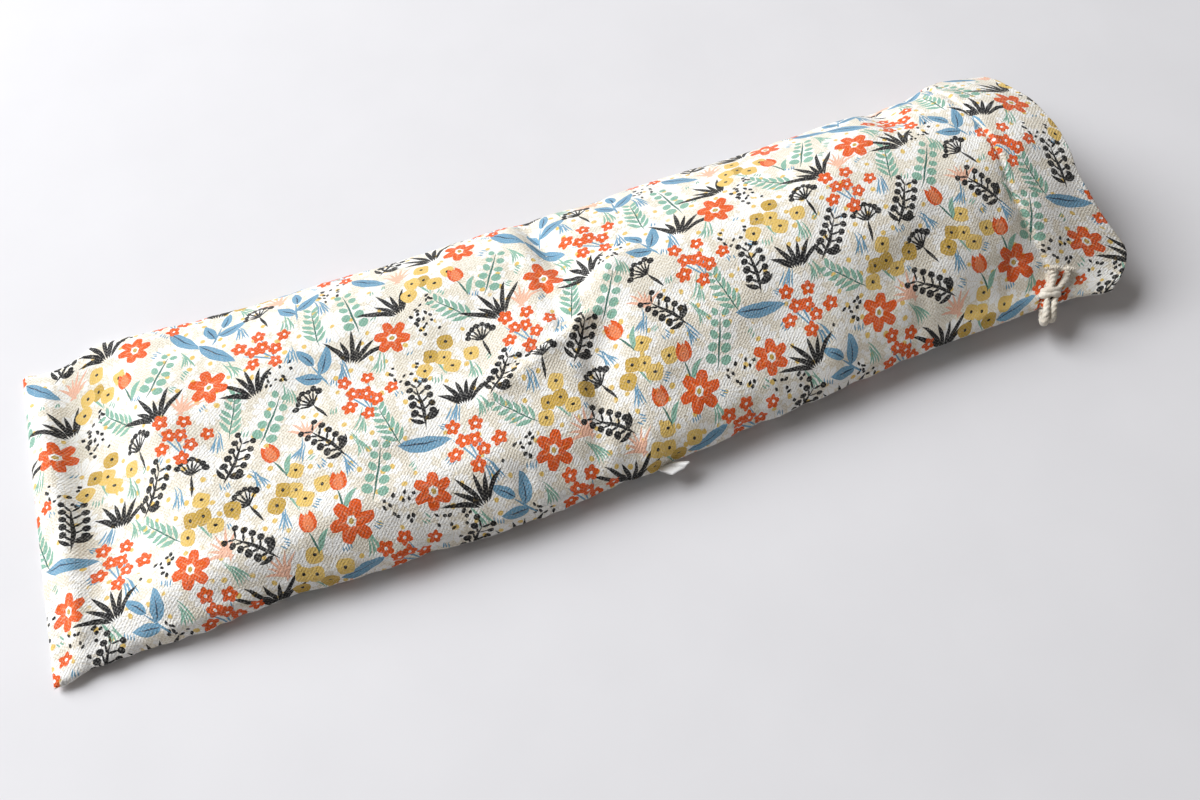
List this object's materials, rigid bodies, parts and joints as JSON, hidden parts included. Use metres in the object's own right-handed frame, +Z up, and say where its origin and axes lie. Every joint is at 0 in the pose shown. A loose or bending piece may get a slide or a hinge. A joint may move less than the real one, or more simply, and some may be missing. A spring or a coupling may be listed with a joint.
{
  "type": "drawstring bread bag",
  "caption": "Long flat cotton drawstring bag lying on its side, filled out towards its open hemmed mouth, with a knotted cord and a sewn tab.",
  "frame": {"origin": "on the flat underside, below the middle of the bag's length and width", "axes": "+X from the sewn end to the open mouth, +Y from the sewn side to the folded side, +Z up from the surface it lies on"},
  "size_m": [0.6454, 0.212, 0.0674],
  "materials": {
    "canvas": "matt slub cotton canvas with a floral print",
    "cord": "soft off-white cotton cord",
    "tape": "plain white woven tape"
  },
  "bodies": {
    "root": {"bag_cloth": "canvas", "cord_strand_left": "cord", "cord_strand_right": "cord", "cord_tail_left": "cord", "cord_tail_right": "cord", "cord_knot": "cord", "seam_tab": "tape"}
  },
  "joints": []
}
